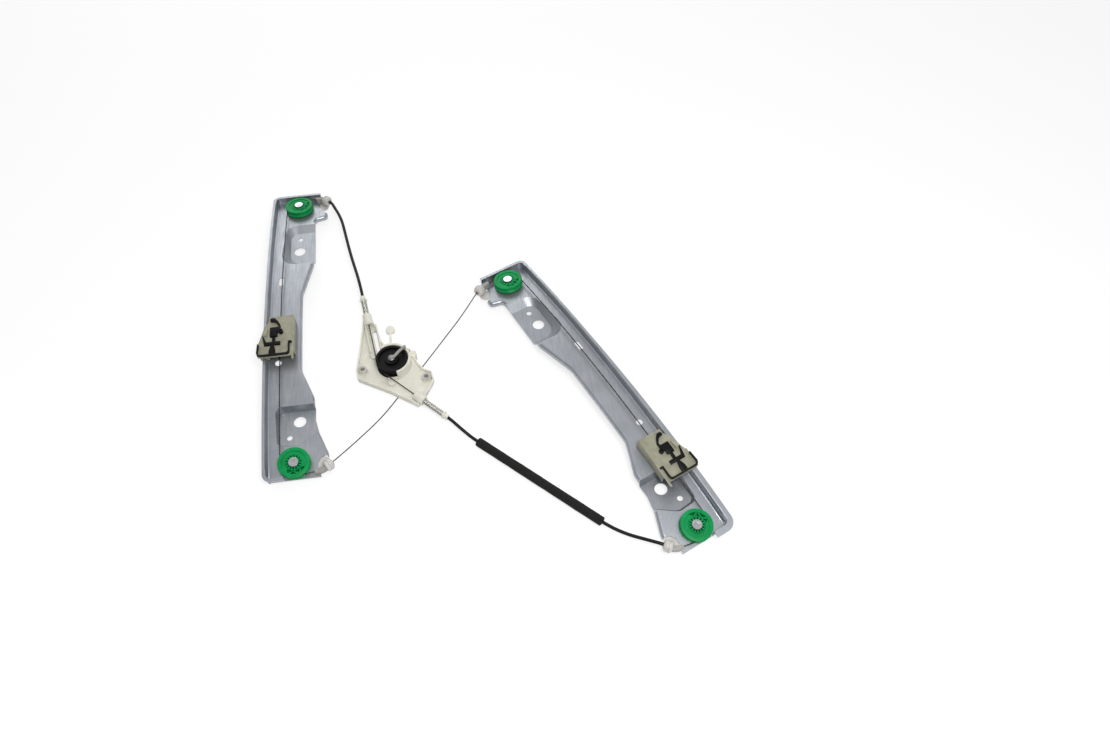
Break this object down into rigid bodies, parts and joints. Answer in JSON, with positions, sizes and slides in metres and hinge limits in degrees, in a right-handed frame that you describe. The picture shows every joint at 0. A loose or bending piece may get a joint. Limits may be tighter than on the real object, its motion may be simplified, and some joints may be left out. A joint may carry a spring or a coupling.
{
  "type": "window regulator",
  "caption": "Cable-driven car door window regulator: curved pressed rails with pulleys, glass carriers and a drum housing joined by conduits and bare cables.",
  "frame": {"origin": "drum and motor axis at the motor's mounting plane, which is the level the regulator lies on", "axes": "+Z out of the door towards the glass side; +Y along the left rail from its lower to its upper pulley; +X towards the right rail"},
  "size_m": [0.5787, 0.67, 0.0533],
  "materials": {
    "galvanised_steel": "galvanised deep-drawing sheet, faint spangle",
    "plated_steel": "zinc-plated steel",
    "spring_steel": "bright spring wire",
    "wire_rope": "stranded galvanised wire rope",
    "zinc": "die-cast zinc",
    "green_plastic": "green acetal, semi-matte",
    "natural_plastic": "natural translucent plastic",
    "grey_plastic": "light grey plastic",
    "black_plastic": "black glass-filled plastic",
    "conduit_jacket": "black extruded jacket",
    "black_foam": "closed-cell foam",
    "black_rubber": "moulded rubber"
  },
  "bodies": {
    "frame": {"left_rail": "galvanised_steel", "right_rail": "galvanised_steel", "left_upper_rivet": "plated_steel", "right_upper_rivet": "plated_steel", "left_lower_rivet": "plated_steel", "right_lower_rivet": "plated_steel", "left_upper_guide": "natural_plastic", "left_lower_guide": "natural_plastic", "right_upper_guide": "natural_plastic", "right_lower_guide": "natural_plastic", "lift_cable": "wire_rope", "return_cable": "wire_rope", "cross_cable": "wire_rope", "upper_conduit": "conduit_jacket", "lower_conduit": "conduit_jacket", "foam_sleeve": "black_foam", "upper_spring": "spring_steel", "lower_spring": "spring_steel", "upper_conduit_cap": "natural_plastic", "lower_conduit_cap": "natural_plastic", "drum_housing": "natural_plastic", "left_bush": "grey_plastic", "right_bush": "grey_plastic", "drum_retainer": "grey_plastic", "harness_clip": "natural_plastic"},
    "left_carriage": {"left_carrier": "natural_plastic", "left_glass_seat": "black_rubber", "left_glass_clip": "black_plastic", "left_slide_shoe": "natural_plastic", "left_upper_nipple": "zinc", "left_lower_nipple": "zinc"},
    "right_carriage": {"right_carrier": "natural_plastic", "right_glass_seat": "black_rubber", "right_glass_clip": "black_plastic", "right_slide_shoe": "natural_plastic", "right_upper_nipple": "zinc", "right_lower_nipple": "zinc"},
    "drum": {"cable_drum": "black_plastic", "hub_cap": "plated_steel", "drum_winding": "wire_rope"},
    "left_upper_pulley": {"left_upper_pulley": "green_plastic"},
    "left_lower_pulley": {"left_lower_pulley": "green_plastic"},
    "right_upper_pulley": {"right_upper_pulley": "green_plastic"},
    "right_lower_pulley": {"right_lower_pulley": "green_plastic"}
  },
  "joints": [
    {"name": "left_carriage_travel", "type": "hinge", "parent": "frame", "child": "left_carriage", "pos_m": [-0.1303, 0.086, -1.369], "axis": [-1, 0, 0], "range_deg": [-1.06, 8.51]},
    {"name": "right_carriage_travel", "type": "hinge", "parent": "frame", "child": "right_carriage", "pos_m": [0.2649, -0.091, -1.369], "axis": [-0.9164, -0.4003, 0], "range_deg": [-1.07, 8.51]},
    {"name": "drum_spin", "type": "hinge", "parent": "frame", "child": "drum", "pos_m": [0, 0, 0.016], "axis": [0, 0, 1], "range_deg": [-74.2, 590.09]},
    {"name": "left_upper_pulley_spin", "type": "hinge", "parent": "frame", "child": "left_upper_pulley", "pos_m": [-0.1303, 0.31397, 0.0184], "axis": [0, 0.1621, 0.9868], "range_deg": [-665.42, 83.62]},
    {"name": "left_lower_pulley_spin", "type": "hinge", "parent": "frame", "child": "left_lower_pulley", "pos_m": [-0.1303, -0.14197, 0.0184], "axis": [0, -0.1621, 0.9868], "range_deg": [-665.42, 83.62]},
    {"name": "right_upper_pulley_spin", "type": "hinge", "parent": "frame", "child": "right_upper_pulley", "pos_m": [0.17363, 0.1179, 0.0184], "axis": [-0.0649, 0.1486, 0.9868], "range_deg": [-83.62, 665.42]},
    {"name": "right_lower_pulley_spin", "type": "hinge", "parent": "frame", "child": "right_lower_pulley", "pos_m": [0.35617, -0.2999, 0.0184], "axis": [0.0649, -0.1486, 0.9868], "range_deg": [-83.62, 665.42]}
  ],
  "couplings": [
    {"joint": "right_carriage_travel", "follows": "left_carriage_travel", "ratio": 1},
    {"joint": "drum_spin", "follows": "left_carriage_travel", "ratio": 69.261},
    {"joint": "left_upper_pulley_spin", "follows": "left_carriage_travel", "ratio": -78.111},
    {"joint": "left_lower_pulley_spin", "follows": "left_carriage_travel", "ratio": -78.111},
    {"joint": "right_upper_pulley_spin", "follows": "left_carriage_travel", "ratio": 78.111},
    {"joint": "right_lower_pulley_spin", "follows": "left_carriage_travel", "ratio": 78.111}
  ]
}
